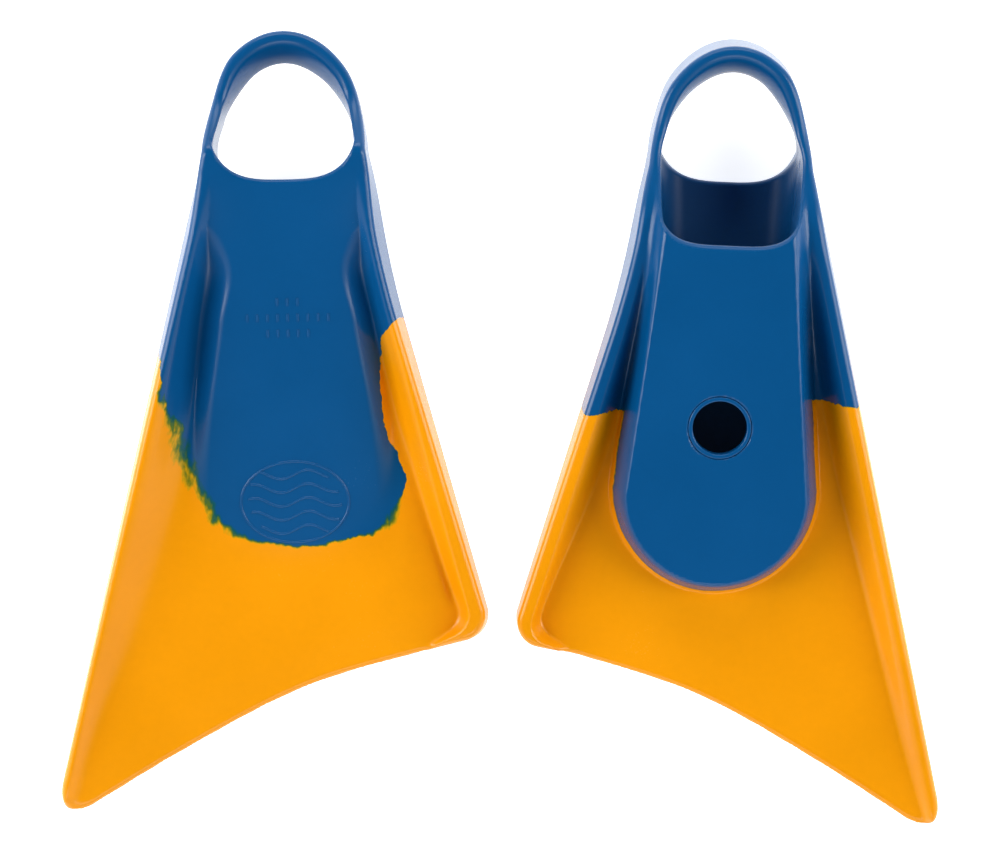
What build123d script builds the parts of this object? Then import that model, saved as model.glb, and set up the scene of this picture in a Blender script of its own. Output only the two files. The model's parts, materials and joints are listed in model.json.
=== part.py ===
"""A pair of short swim fins lying side by side: one on its sole, the other turned over on its top side.

Each fin is modelled once in its own frame, in millimetres: +X towards the short side of the blade, +Y towards
the heel, +Z out of the top side. The heel end lies at y = 0, the sole's outer face at z = 0, and a station is a
distance from the heel end towards the blade's tips. Every fin is a moulding of two rubber compounds, and each
solid here is one preform of that moulding, split once more where the rubber bends.
"""

import os
from math import atan, cos, degrees

from build123d import *

# Heel strap: half of an ellipse in plan.
HEEL_HALF_WIDTH = 44.0
HEEL_DEPTH = 62.0
STRAP_THICKNESS = 7.0
STRAP_WIDTH = 38.0
STRAP_MID_HEIGHT = 45.0

# Outer sides of the blade, as half widths from the pocket's axis at a station.
KNEE_STATION = 120.0
LONG_KNEE = 57.6
SHORT_KNEE = 53.0
LONG_CORNER = (130.0, 412.0)
SHORT_CORNER = (102.5, 313.0)
TRAILING_MIDDLE = (-2.2, 340.0)
LONG_TIP_RADIUS = 9.5
LONG_TIP_SETBACK = 15.2
SHORT_TIP_RADIUS = 13.0

# Foot pocket: a raised U of straight sides and a round toe end.
SOLE_EDGE_STATION = 98.0
SOLE_EDGE_HALF_WIDTH = 38.0
TOE_CENTRE_STATION = 230.5
TOE_RADIUS = 51.5
SOLE_THICKNESS = 5.0
WALL_THICKNESS = 4.5
INSTEP_THICKNESS = 4.5
INSTEP_EDGE_STATION = 77.0
INSTEP_CORNER_STATION = 60.0
INSTEP_EDGE_HEIGHT = 78.0
DRAIN_STATION = 194.0
DRAIN_RADIUS = 14.0

# Blade: a flat web between two side rails, falling towards the tips.
WEB_THICKNESS = 5.0
WEB_TOE_HEIGHT = 20.5
WEB_TIP_HEIGHT = 6.0
WEB_START_STATION = 185.0
RAIL_START_STATION = 115.0
RAIL_ROOT_WIDTH = 21.0
RAIL_TIP_WIDTH = 12.0
RAIL_ROOT_UNDERSIDE = 12.0
LONG_TIP_THICKNESS = 12.5
COLOUR_LINE_STATION = 178.0

# Flex lines. The strap swings about its two roots, and the blade bends along a slanted line past the toes.
STRAP_KNUCKLE_RADIUS = 24.0
FLEX_LONG_END = (108.0, 322.0)
FLEX_SHORT_END = (92.0, 269.0)
FLEX_KNUCKLE_MARGIN = 1.8
RUNNING_GAP = 0.35

# Where the two fins lie.
AXIS_SPACING = 233.0
SOLE_DOWN_TURN = 1.0
SOLE_UP_TURN = -2.5
SOLE_UP_SHIFT = -14.0

# Worked out from the sizes above.
TOE_END_STATION = TOE_CENTRE_STATION + TOE_RADIUS
TIP_STATION = LONG_CORNER[1] - LONG_TIP_SETBACK
REST_SLOPE = (INSTEP_EDGE_HEIGHT - LONG_TIP_THICKNESS) / (TIP_STATION - INSTEP_EDGE_STATION)
WEB_SLOPE = (WEB_TOE_HEIGHT - WEB_TIP_HEIGHT) / (TIP_STATION - TOE_END_STATION)
WEB_TOP_AT_TOE = WEB_TOE_HEIGHT + WEB_THICKNESS / 2
INSTEP_SLOPE = (INSTEP_EDGE_HEIGHT - WEB_TOP_AT_TOE) / (TOE_END_STATION - INSTEP_EDGE_STATION)

# Cutting solids reach this far past what they cut.
FAR = 600.0
TALL = 120.0
CUT_OVERRUN = 5.0


def web_height(station):
    """Height of the web's middle surface at a station."""
    return WEB_TOE_HEIGHT + (TOE_END_STATION - station) * WEB_SLOPE


def web_top(station):
    """Height of the web's upper surface at a station."""
    return web_height(station) + WEB_THICKNESS / 2


def rest_height(station):
    """Height of the plane that the fin lies on when it is turned over."""
    return INSTEP_EDGE_HEIGHT + (INSTEP_EDGE_STATION - station) * REST_SLOPE


def underside_height(station):
    """Height of the rails' lower edge, which reaches the floor at the long tip."""
    share = (TIP_STATION - station) / (TIP_STATION - RAIL_START_STATION)
    return max(0.0, RAIL_ROOT_UNDERSIDE * share)


def prism(face, low=-CUT_OVERRUN, high=TALL):
    """A plan face carried straight up between two heights."""
    return extrude(Pos(0, 0, low) * face, amount=high - low)


def side_prism(points):
    """A closed side profile of (station, height) points, carried right across the fin."""
    flat = make_face(Polyline([(-FAR / 2, -s, z) for s, z in points], close=True))
    return extrude(flat, amount=FAR, dir=(1, 0, 0))


def slab(height_at, thickness, first, last):
    """A sloping slab whose upper surface follows height_at between two stations, thick measured upright."""
    return side_prism(
        [
            (first, height_at(first)),
            (last, height_at(last)),
            (last, height_at(last) - thickness),
            (first, height_at(first) - thickness),
        ]
    )


def blade_outline():
    """Plan of the whole blade from the strap's roots to the trailing edge, with rounded tips."""
    sides = Polyline(
        (SHORT_CORNER[0], -SHORT_CORNER[1]),
        (SHORT_KNEE, -KNEE_STATION),
        (HEEL_HALF_WIDTH, -HEEL_DEPTH),
        (-HEEL_HALF_WIDTH, -HEEL_DEPTH),
        (-LONG_KNEE, -KNEE_STATION),
        (-LONG_CORNER[0], -LONG_CORNER[1]),
    )
    trailing = ThreePointArc(
        (-LONG_CORNER[0], -LONG_CORNER[1]),
        (-TRAILING_MIDDLE[0], -TRAILING_MIDDLE[1]),
        (SHORT_CORNER[0], -SHORT_CORNER[1]),
    )
    plan = make_face(sides + trailing)
    corners = plan.vertices().sort_by(Axis.Y)
    plan = fillet(corners[0], LONG_TIP_RADIUS)
    short = plan.vertices().sort_by_distance((SHORT_CORNER[0], -SHORT_CORNER[1]))[0]
    return fillet(short, SHORT_TIP_RADIUS)


def pocket_outline(inset=0.0, edge_station=SOLE_EDGE_STATION, reach=0.0):
    """Plan of the raised U, taken in all round by inset and carried past its heel edge by reach."""
    taper = (TOE_RADIUS - SOLE_EDGE_HALF_WIDTH) / (TOE_CENTRE_STATION - SOLE_EDGE_STATION)
    start = edge_station - reach
    half = SOLE_EDGE_HALF_WIDTH + (start - SOLE_EDGE_STATION) * taper - inset
    toe = TOE_RADIUS - inset
    sides = Polyline((toe, -TOE_CENTRE_STATION), (half, -start), (-half, -start), (-toe, -TOE_CENTRE_STATION))
    end = ThreePointArc((-toe, -TOE_CENTRE_STATION), (0, -TOE_CENTRE_STATION - toe), (toe, -TOE_CENTRE_STATION))
    return make_face(sides + end)


def rail_plan(side):
    """Plan of one side rail: side is -1 for the long rail and 1 for the short one."""
    knee, corner = (LONG_KNEE, LONG_CORNER) if side < 0 else (SHORT_KNEE, SHORT_CORNER)
    return make_face(
        Polyline(
            [
                (side * (knee - RAIL_ROOT_WIDTH), -RAIL_START_STATION),
                (side * FAR, -RAIL_START_STATION),
                (side * FAR, -corner[1]),
                (side * (corner[0] - RAIL_TIP_WIDTH), -corner[1]),
            ],
            close=True,
        )
    )


def rail(side, outline):
    """One whole side rail, from the strap's root to its tip."""
    profile = side_prism(
        [
            (RAIL_START_STATION, rest_height(RAIL_START_STATION)),
            (LONG_CORNER[1], rest_height(LONG_CORNER[1])),
            (LONG_CORNER[1], 0.0),
            (TIP_STATION, 0.0),
            (RAIL_START_STATION, underside_height(RAIL_START_STATION)),
        ]
    )
    pocket = prism(pocket_outline(reach=SOLE_EDGE_STATION - INSTEP_CORNER_STATION))
    return (prism(rail_plan(side)) & prism(outline) & profile) - pocket


def web(outline, rails):
    """The flat web between the rails, round the toe end of the pocket."""
    sheet = slab(web_top, WEB_THICKNESS, WEB_START_STATION, LONG_CORNER[1]) & prism(outline)
    for one in rails:
        sheet -= one
    return sheet - prism(pocket_outline())


def ellipse_ring(outer_x, outer_y, thickness):
    """Plan of the heel strap: an elliptical ring of even thickness about the strap's roots."""
    ring = Ellipse(outer_x, outer_y) - Ellipse(outer_x - thickness, outer_y - thickness)
    return Pos(0, -HEEL_DEPTH, 0) * ring


def heel_strap():
    """The band round the heel, cut hollow at its roots so that it swings without touching them."""
    low = STRAP_MID_HEIGHT - STRAP_WIDTH / 2
    band = prism(ellipse_ring(HEEL_HALF_WIDTH, HEEL_DEPTH, STRAP_THICKNESS), low, low + STRAP_WIDTH)
    heel_side = Pos(0, -HEEL_DEPTH + FAR / 2, 0) * Box(FAR, FAR, FAR)
    return (band & heel_side) - strap_knuckle(STRAP_KNUCKLE_RADIUS + RUNNING_GAP)


def strap_knuckle(radius):
    """A round bar along the line that the strap swings about."""
    return Pos(0, -HEEL_DEPTH, STRAP_MID_HEIGHT) * Rot(0, 90, 0) * Cylinder(radius, FAR)


def strap_root(side, outline):
    """The pocket's side at its mouth, which carries one end of the strap on a rounded end."""
    low, high = STRAP_MID_HEIGHT - STRAP_WIDTH / 2, STRAP_MID_HEIGHT + STRAP_WIDTH / 2
    profile = side_prism(
        [
            (HEEL_DEPTH, low),
            (HEEL_DEPTH, high),
            (INSTEP_EDGE_STATION, rest_height(INSTEP_EDGE_STATION)),
            (RAIL_START_STATION, rest_height(RAIL_START_STATION)),
            (RAIL_START_STATION, underside_height(RAIL_START_STATION)),
            (SOLE_EDGE_STATION, 0.0),
        ]
    )
    half = Pos(side * FAR / 2, 0, 0) * Box(FAR, 2 * FAR, FAR)
    pocket = prism(pocket_outline(reach=SOLE_EDGE_STATION - HEEL_DEPTH + CUT_OVERRUN))
    block = (prism(outline) & profile & half) - pocket
    ring = prism(ellipse_ring(HEEL_HALF_WIDTH, HEEL_DEPTH, STRAP_THICKNESS), low, high)
    heel_side = Pos(0, -HEEL_DEPTH + FAR / 2, 0) * Box(FAR, FAR, FAR)
    end = ring & heel_side & strap_knuckle(STRAP_KNUCKLE_RADIUS) & half
    return block + end


def sole_panel():
    """The flat raised sole with its drain hole."""
    hole = Pos(0, -DRAIN_STATION, 0) * Cylinder(DRAIN_RADIUS, 4 * SOLE_THICKNESS)
    return prism(pocket_outline(), 0.0, SOLE_THICKNESS) - hole


def instep_top(station):
    """Height of the instep panel's outer surface at a station."""
    return INSTEP_EDGE_HEIGHT + (INSTEP_EDGE_STATION - station) * INSTEP_SLOPE


def instep_panel():
    """The sloping top of the pocket, with its hollowed edge across the instep."""
    reach = SOLE_EDGE_STATION - INSTEP_CORNER_STATION
    upright = INSTEP_THICKNESS / cos(atan(INSTEP_SLOPE))
    plate = slab(instep_top, upright, INSTEP_CORNER_STATION - CUT_OVERRUN, TOE_END_STATION + CUT_OVERRUN)
    plate &= prism(pocket_outline(reach=reach))
    below_rest = slab(rest_height, TALL, 0.0, FAR)
    half = HEEL_HALF_WIDTH - STRAP_THICKNESS
    edge = ThreePointArc(
        (-half, -INSTEP_CORNER_STATION), (0, -INSTEP_EDGE_STATION), (half, -INSTEP_CORNER_STATION)
    )
    corner = -INSTEP_CORNER_STATION
    mouth = make_face(edge + Polyline((half, corner), (half, 0), (-half, 0), (-half, corner)))
    return (plate & below_rest) - prism(mouth)


def pocket_wall_pieces():
    """The wall that stands on the sole panel: the toe end and the two sides."""
    inside = pocket_outline(inset=WALL_THICKNESS, reach=CUT_OVERRUN)
    ring = prism(pocket_outline() - inside, SOLE_THICKNESS, TALL)
    upright = INSTEP_THICKNESS / cos(atan(INSTEP_SLOPE))
    below = slab(lambda station: instep_top(station) - upright, TALL, 0.0, FAR)
    ring &= below
    toe_side = Pos(0, -TOE_CENTRE_STATION - FAR / 2, 0) * Box(FAR, FAR, FAR)
    long_half = Pos(-FAR / 2, 0, 0) * Box(FAR, 2 * FAR, FAR)
    sides = ring - toe_side
    return ring & toe_side, sides & long_half, sides - long_half


def flex_frame():
    """The slanted bending line past the toes: its middle, with X along the line and Z out of the web."""
    long_end = Vector(-FLEX_LONG_END[0], -FLEX_LONG_END[1], web_height(FLEX_LONG_END[1]))
    short_end = Vector(FLEX_SHORT_END[0], -FLEX_SHORT_END[1], web_height(FLEX_SHORT_END[1]))
    along = short_end - long_end
    web_normal = Vector(0, -WEB_SLOPE, 1)
    upright = web_normal - along * (web_normal.dot(along) / along.dot(along))
    return Plane(origin=(long_end + short_end) * 0.5, x_dir=along, z_dir=upright)


def flex_knuckle_radius():
    """Radius of the bend's knuckle, which takes in the rails' whole height where the bending line crosses them."""
    crossings = (FLEX_LONG_END[1], FLEX_SHORT_END[1])
    above = max(rest_height(station) - web_height(station) for station in crossings)
    below = max(web_height(station) - underside_height(station) for station in crossings)
    return max(above, below) + FLEX_KNUCKLE_MARGIN


def split_at_flex(solid):
    """A blade piece as (the part that stays with the pocket, the part that bends), with a running gap."""
    frame = flex_frame().location
    radius = flex_knuckle_radius()
    tip_side = frame * Pos(0, -FAR / 2, 0) * Box(FAR, FAR, FAR)
    knuckle = frame * Rot(0, 90, 0) * Cylinder(radius, FAR)
    hollow = frame * Rot(0, 90, 0) * Cylinder(radius + RUNNING_GAP, FAR)
    bending = (solid & tip_side) - hollow
    staying = (solid - tip_side) + (solid & tip_side & knuckle)
    return staying, bending


def split_at_colour(solid):
    """A rail as (its blue root, the yellow rest)."""
    heel_side = Pos(0, -COLOUR_LINE_STATION + FAR / 2, 0) * Box(FAR, FAR, FAR)
    return solid & heel_side, solid - heel_side


def fin():
    """Every piece of one fin in the fin's own frame, by name."""
    outline = blade_outline()
    long_rail, short_rail = rail(-1, outline), rail(1, outline)
    long_root, long_rest = split_at_colour(long_rail)
    short_root, short_rest = split_at_colour(short_rail)
    long_middle, long_tip = split_at_flex(long_rest)
    short_middle, short_tip = split_at_flex(short_rest)
    web_root, web_tail = split_at_flex(web(outline, (long_rail, short_rail)))
    toe_wall, long_wall, short_wall = pocket_wall_pieces()
    return {
        "heel_strap": heel_strap(),
        "long_side_strap_root": strap_root(-1, outline),
        "short_side_strap_root": strap_root(1, outline),
        "instep_panel": instep_panel(),
        "sole_panel": sole_panel(),
        "toe_wall": toe_wall,
        "long_side_pocket_wall": long_wall,
        "short_side_pocket_wall": short_wall,
        "long_rail_root": long_root,
        "short_rail_root": short_root,
        "long_rail": long_middle,
        "short_rail": short_middle,
        "blade_web": web_root,
        "long_rail_tip": long_tip,
        "short_rail_tip": short_tip,
        "blade_tail": web_tail,
    }


def sole_down():
    """Where the first fin lies: flat on its sole."""
    return Pos(-AXIS_SPACING / 2, 0, 0) * Rot(0, 0, SOLE_DOWN_TURN)


def sole_up():
    """Where the second fin lies: turned over, on the edge of its instep panel and on its rails."""
    tilt = atan(REST_SLOPE)
    lift = rest_height(0.0) * cos(tilt)
    turned = Rot(degrees(tilt), 0, 0) * Rot(0, 180, 0)
    return Pos(AXIS_SPACING / 2, SOLE_UP_SHIFT, lift) * Rot(0, 0, SOLE_UP_TURN) * turned


def main():
    """Builds both fins, centres the pair on the floor and writes one STEP file for each piece."""
    pieces = fin()
    placed = {f"fin_1_{name}": sole_down() * shape for name, shape in pieces.items()}
    placed |= {f"fin_2_{name}": sole_up() * shape for name, shape in pieces.items()}
    box = Compound(list(placed.values())).bounding_box()
    centre = Pos(-box.center().X, -box.center().Y, -box.min.Z)
    os.makedirs("parts", exist_ok=True)
    for name, shape in placed.items():
        export_step(centre * shape, f"parts/{name}.step")


if __name__ == "__main__":
    main()
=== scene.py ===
"""Looks of a pair of short swim fins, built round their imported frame.

A fin is one smooth moulding, so its shape is worked out as a field: a number at every point that is
negative inside the rubber and zero on its surface. The surface is then meshed, cut into its pieces
and laid where the frame says. Shapes are in millimetres in a fin's own frame: x towards the short
side of the blade, y towards the heel and z out of the top side, with the heel end at y = 0 and the
flat of the sole at z = 0. A station is a distance from the heel end towards the tips.
"""

import json
import logging
import math
from collections.abc import Callable, Iterable
from dataclasses import dataclass
from enum import Enum

import bmesh
import bpy
import numpy as np
from mathutils import Matrix, Vector


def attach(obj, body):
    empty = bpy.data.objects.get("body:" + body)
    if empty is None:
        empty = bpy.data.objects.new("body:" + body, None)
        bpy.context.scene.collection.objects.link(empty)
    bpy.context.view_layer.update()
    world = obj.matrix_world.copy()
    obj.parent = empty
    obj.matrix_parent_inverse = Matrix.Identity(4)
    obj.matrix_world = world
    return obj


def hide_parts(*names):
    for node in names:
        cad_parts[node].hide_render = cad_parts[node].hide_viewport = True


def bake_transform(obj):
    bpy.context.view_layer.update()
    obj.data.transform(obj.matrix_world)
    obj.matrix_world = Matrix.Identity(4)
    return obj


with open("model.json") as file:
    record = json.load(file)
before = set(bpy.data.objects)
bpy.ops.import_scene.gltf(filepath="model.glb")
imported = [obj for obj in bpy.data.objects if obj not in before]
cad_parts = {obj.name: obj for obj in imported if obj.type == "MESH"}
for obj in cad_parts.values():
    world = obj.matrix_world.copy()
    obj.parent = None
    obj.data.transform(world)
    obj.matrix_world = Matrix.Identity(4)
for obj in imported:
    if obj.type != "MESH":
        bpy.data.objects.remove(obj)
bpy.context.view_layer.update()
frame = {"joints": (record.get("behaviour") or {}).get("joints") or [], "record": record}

MM = 0.001
# Share of a bead's radius that lies below the rubber.
SUNK = 0.45
LOG = logging.getLogger("fins")
Array = np.ndarray
Field = Callable[[Array, Array, Array], Array]
Point = tuple[float, float, float]
Knots = tuple[tuple[float, float], ...]


# Numbers over a surface --------------------------------------------------------------------------


def ramp(value: Array | float, start: float, end: float) -> Array:
    """A smooth step from 0 before start to 1 after end."""
    t = np.clip((np.asarray(value, float) - start) / (end - start), 0.0, 1.0)
    return t * t * (3.0 - 2.0 * t)


def mix(first: Array | float, second: Array | float, share: Array | float) -> Array:
    """The first value where share is 0 and the second where it is 1."""
    return first + (second - first) * share


def soft_max(first: Array, second: Array | float, radius: Array | float) -> Array:
    """The larger of two values, with a fillet of about radius where they are equal."""
    near = np.clip(radius - np.abs(first - second), 0.0, None) / radius
    return np.maximum(first, second) + near * near * radius * 0.25


def soft_min(first: Array, second: Array | float, radius: float) -> Array:
    """The smaller of two values, with a fillet of about radius where they are equal."""
    return -soft_max(-first, -second, radius)


def round_max(first: Array, second: Array, radius: Array | float) -> Array:
    """The larger of two distances, with the corner between them turned to an arc of that radius."""
    inner = np.minimum(np.maximum(first, second), -radius)
    return inner + np.hypot(np.maximum(first + radius, 0.0), np.maximum(second + radius, 0.0))


def through(knots: Knots, at: Array) -> Array:
    """A smooth curve through its knots.

    Args:
        knots: The (position, value) points that the curve passes through, in order.
        at: The positions to read it at, held to the first and last knots.

    Returns:
        The curve's value at each position.
    """
    places, values = np.array(knots, float).T
    slopes = np.gradient(values, places)
    i = np.clip(np.searchsorted(places, at) - 1, 0, len(places) - 2)
    width = places[i + 1] - places[i]
    t = np.clip((at - places[i]) / width, 0.0, 1.0)
    rest = 1.0 - t
    ends = values[i] * (1 + 2 * t) * rest * rest + values[i + 1] * t * t * (3 - 2 * t)
    return ends + width * (slopes[i] * t * rest * rest - slopes[i + 1] * t * t * rest)


# The fin's shape ---------------------------------------------------------------------------------


@dataclass(frozen=True)
class FinShape:
    """Every size of one fin in millimetres, and the field that they give."""

    heel_half_width: float = 44.0
    heel_depth: float = 62.0
    strap_rim: float = 6.5
    strap_crown: float = 10.5
    strap_low: float = 26.0
    strap_high: float = 64.0
    long_side_start: float = 43.1
    long_side_flare: float = 0.250
    short_side_start: float = 43.8
    short_side_flare: float = 0.155
    short_blade_start: float = 36.4
    short_blade_flare: float = 0.268
    trailing_edge: Knots = (
        (-150.0, 424.0), (-108.0, 399.0), (-58.0, 370.0), (2.0, 340.0), (68.0, 321.0),
        (120.0, 308.0),
    )
    long_tip_radius: float = 19.0
    short_tip_radius: float = 14.0
    top_draft: float = 0.15
    sole_draft: float = 0.06
    edge_radius: float = 3.2
    groove_depth: Knots = (
        (80.0, 2.5), (96.0, 4.5), (112.0, 8.5), (130.0, 12.0), (150.0, 14.0), (185.0, 15.0),
        (230.0, 15.0),
    )
    crown_half_width: Knots = (
        (74.0, 72.0), (88.0, 58.0), (102.0, 37.0), (116.0, 29.5), (150.0, 33.5), (190.0, 40.0),
        (230.0, 44.0), (282.0, 44.0),
    )
    rail_low: Knots = (
        (20.0, 26.0), (42.0, 25.5), (62.0, 20.0), (80.0, 12.5), (98.0, 9.5), (118.0, 9.8),
        (140.0, 10.2), (170.0, 9.4), (230.0, 7.1), (310.0, 3.7), (396.8, 0.0),
    )
    sole_low: Knots = (
        (20.0, 26.0), (42.0, 25.5), (62.0, 17.0), (80.0, 5.0), (93.0, 0.6), (104.0, 0.0),
        (120.0, 0.0),
    )
    long_rail_foot: Knots = (
        (80.0, 15.0), (110.0, 15.5), (150.0, 18.0), (200.0, 24.0), (255.0, 25.0), (305.0, 21.0),
        (345.0, 13.0), (400.0, 9.0),
    )
    short_rail_foot: Knots = (
        (80.0, 14.0), (110.0, 14.5), (160.0, 16.0), (280.0, 15.5), (310.0, 13.0), (400.0, 12.0),
    )
    sole_long_foot: Knots = (
        (60.0, 14.0), (120.0, 16.0), (200.0, 20.0), (300.0, 17.0), (371.0, 13.0), (400.0, 10.0),
    )
    sole_short_foot: Knots = (
        (60.0, 13.0), (120.0, 15.0), (200.0, 21.0), (253.0, 18.0), (280.0, 14.5), (400.0, 10.0),
    )
    tip_station: float = 396.8
    tip_thickness: float = 12.5
    instep_station: float = 77.0
    instep_height: float = 78.0
    instep_corner_depth: float = 25.0
    instep_half_width: float = 37.0
    instep_thickness: float = 5.5
    least_roof: float = 4.5
    sole_station: float = 98.0
    sole_thickness: float = 6.0
    sole_edge_half_width: float = 38.0
    toe_station: float = 230.5
    toe_radius: float = 51.5
    pocket_wall: float = 6.0
    web_toe_height: float = 20.5
    web_tip_height: float = 6.0
    web_thickness: float = 5.0
    trailing_thickness: float = 3.4
    thinning: float = 22.0
    rail_root_underside: float = 12.0
    rail_root_station: float = 115.0
    drain_station: float = 194.0
    drain_radius: float = 14.0
    drain_ring: float = 2.4
    crown_fall: float = 1.6

    @property
    def toe_end(self) -> float:
        """Station of the pocket's toe end."""
        return self.toe_station + self.toe_radius

    @property
    def web_slope(self) -> float:
        """How much the web falls for each millimetre towards the tips."""
        return (self.web_toe_height - self.web_tip_height) / (self.tip_station - self.toe_end)

    def web_height(self, station: Array | float) -> Array | float:
        """Height of the web's middle surface."""
        return self.web_toe_height + (self.toe_end - station) * self.web_slope

    def web_half(self, x: Array, station: Array) -> Array:
        """Half the web's thickness, which thins towards the trailing edge."""
        edge_in = np.maximum(-self.trail_distance(x, station), 0.0)
        thin = (self.web_thickness - self.trailing_thickness) / 2 * (1 - ramp(edge_in, 0.0, self.thinning))
        return self.web_thickness / 2 - thin

    def rest_height(self, station: Array | float) -> Array | float:
        """Height of the line from the instep's edge to the long tip, which a turned fin lies on."""
        fall = (self.instep_height - self.tip_thickness) / (self.tip_station - self.instep_station)
        return self.instep_height + (self.instep_station - station) * fall

    def instep_line(self, station: Array | float) -> Array | float:
        """Height of the pocket's top along its middle."""
        toe_top = self.web_toe_height + self.web_thickness / 2
        fall = (self.instep_height - toe_top) / (self.toe_end - self.instep_station)
        return self.instep_height + (self.instep_station - station) * fall

    def fall(self, x: Array) -> Array:
        """How far the pocket's rounded top falls away beside its middle."""
        return self.crown_fall * (x / 30.0) ** 2

    def underside(self, station: Array | float) -> Array | float:
        """Height of the rails' lower edges."""
        share = (self.tip_station - station) / (self.tip_station - self.rail_root_station)
        return np.maximum(self.rail_root_underside * share, 0.0)

    def side_distance(self, x: Array, station: Array) -> tuple[Array, Array]:
        """Distances outside the fin's long side and its short side."""
        run = station - self.heel_depth
        long_side = -x - self.long_side_start - self.long_side_flare * run
        by_pocket = x - self.short_side_start - self.short_side_flare * run
        by_blade = x - self.short_blade_start - self.short_blade_flare * run
        return long_side * 0.970, soft_min(by_pocket, by_blade, 3.0) * 0.966

    def heel_distance(self, x: Array, station: Array) -> Array:
        """Distance outside the ellipse round the heel, which opens out past the strap's roots."""
        a, b = self.heel_half_width, self.heel_depth
        back = np.minimum(station - b, 0.0)
        k0 = np.hypot(x / a, back / b)
        k1 = np.maximum(np.hypot(x / a**2, back / b**2), 1e-6)
        opening = 0.35 * np.maximum(station - b, 0.0)
        return k0 * (k0 - 1.0) / k1 - opening

    def trail_distance(self, x: Array, station: Array) -> Array:
        """Distance past the trailing edge."""
        step = 1.0
        slope = (through(self.trailing_edge, x + step) - through(self.trailing_edge, x - step)) / (2 * step)
        return (station - through(self.trailing_edge, x)) / np.sqrt(1.0 + slope * slope)

    def pocket_distance(self, x: Array, station: Array) -> Array:
        """Distance outside the raised U of the sole."""
        taper = (self.toe_radius - self.sole_edge_half_width) / (self.toe_station - self.sole_station)
        straight = np.abs(x) - self.toe_radius + taper * (self.toe_station - station)
        toe = np.hypot(x, np.maximum(station - self.toe_station, 0.0)) - self.toe_radius
        return np.where(station < self.toe_station, straight, toe)

    def inner_distance(self, x: Array, station: Array, crown: Array | float) -> Array:
        """Distance outside the room for the foot and heel, seen from above."""
        heel = np.maximum(*self.side_distance(x, station))
        heel = soft_max(heel, self.heel_distance(x, station), 5.0) + self.strap_rim + crown
        width = 35.9 - 0.06 * (station - self.heel_depth)
        sides = np.maximum(np.abs(x) - width, station - 150.0)
        toes = self.pocket_distance(x, station) + self.pocket_wall
        by_foot = soft_min(sides, np.where(station > 80.0, toes, 50.0), 3.0)
        by_heel = soft_max(heel, np.abs(x) - width - 2.0, 4.0)
        return mix(by_heel, by_foot, ramp(station, 44.0, self.heel_depth + 4.0))

    def rim_share(self, x: Array, station: Array) -> tuple[Array, Array, Array]:
        """How far points are inside the fin's edge, so that the short rail wraps round its tip.

        Returns:
            The distance inside the edge, how much of the rim's height is left there as it dies away
            along the trailing edge, and 1 on the long half of the fin and 0 on the short one.
        """
        long_side, short_side = self.side_distance(x, station)
        from_side = -np.maximum(long_side, short_side)
        from_trail = np.maximum(-self.trail_distance(x, station), 0.0)
        long_half = ramp(-x, -8.0, 8.0)
        round_tip = from_trail + 0.26 * np.maximum(from_side - 6.0, 0.0) + 2.0 + 40.0 * long_half
        wrapped = soft_min(from_side, round_tip, 10.0)
        left = 1.0 - ramp(from_side, mix(9.0, 26.0, long_half), mix(46.0, 80.0, long_half))
        return wrapped, left, long_half

    def top_surface(self, x: Array, station: Array) -> Array:
        """Height of the top side: the crown over the foot, the grooves beside it, the rails and the web."""
        inside, left, long_half = self.rim_share(x, station)
        web = self.web_height(station) + self.web_half(x, station)
        instep = self.instep_line(station)
        crown = instep - self.fall(x) * ramp(station, 70.0, 110.0)
        floor = np.maximum(instep - through(self.groove_depth, station), web)
        floor = np.where(station > self.toe_end, web, floor)
        channel = np.exp(-(((inside - 15.0) / 3.0) ** 2)) * 1.7 * ramp(station, 200.0, 230.0)
        floor = floor - channel * (1.0 - long_half) * (1.0 - ramp(station, 288.0, 301.0))
        short_crest = mix(8.0, 10.0, ramp(station, 150.0, 260.0))
        crest = mix(short_crest, mix(8.5, 4.0, ramp(station, 200.0, 340.0)), long_half)
        foot = mix(through(self.short_rail_foot, station), through(self.long_rail_foot, station), long_half)
        drop = 1.0 - (inside - crest) / np.maximum(foot - crest, 1.0)
        share = soft_min(soft_max(drop, 0.0, 0.5), 1.0, 0.22)
        rails = mix(floor, self.rest_height(station), share * left)
        beside_crown = through(self.crown_half_width, station) - np.abs(x)
        over_foot = mix(floor, crown, ramp(beside_crown, -15.0, 1.0) * (1.0 - ramp(station, 262.0, 290.0)))
        return soft_max(rails, over_foot, 0.2 + 2.3 * ramp(station, 95.0, 130.0))

    def sole_surface(self, x: Array, station: Array) -> Array:
        """Height of the sole side: the flat raised U, the grooves beside it, the rails and the web."""
        inside, left, long_half = self.rim_share(x, station)
        web = self.web_height(station) - self.web_half(x, station)
        rail_low = through(self.rail_low, station)
        floor = mix(rail_low + 1.0, web, ramp(station, 90.0, 195.0))
        crest = mix(7.5, mix(7.0, 4.0, ramp(station, 180, 360)), long_half)
        foot = mix(through(self.sole_short_foot, station), through(self.sole_long_foot, station), long_half)
        share = 1.0 - np.clip((inside - crest) / np.maximum(foot - crest, 1.0), 0.0, 1.0)
        share = share * share * (3 - 2 * share)
        rails = mix(floor, soft_min(rail_low, floor, 1.0), share * left)
        wall = ramp(-self.pocket_distance(x, station), -4.0, 5.5)
        return mix(rails, through(self.sole_low, station), wall)

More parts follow.
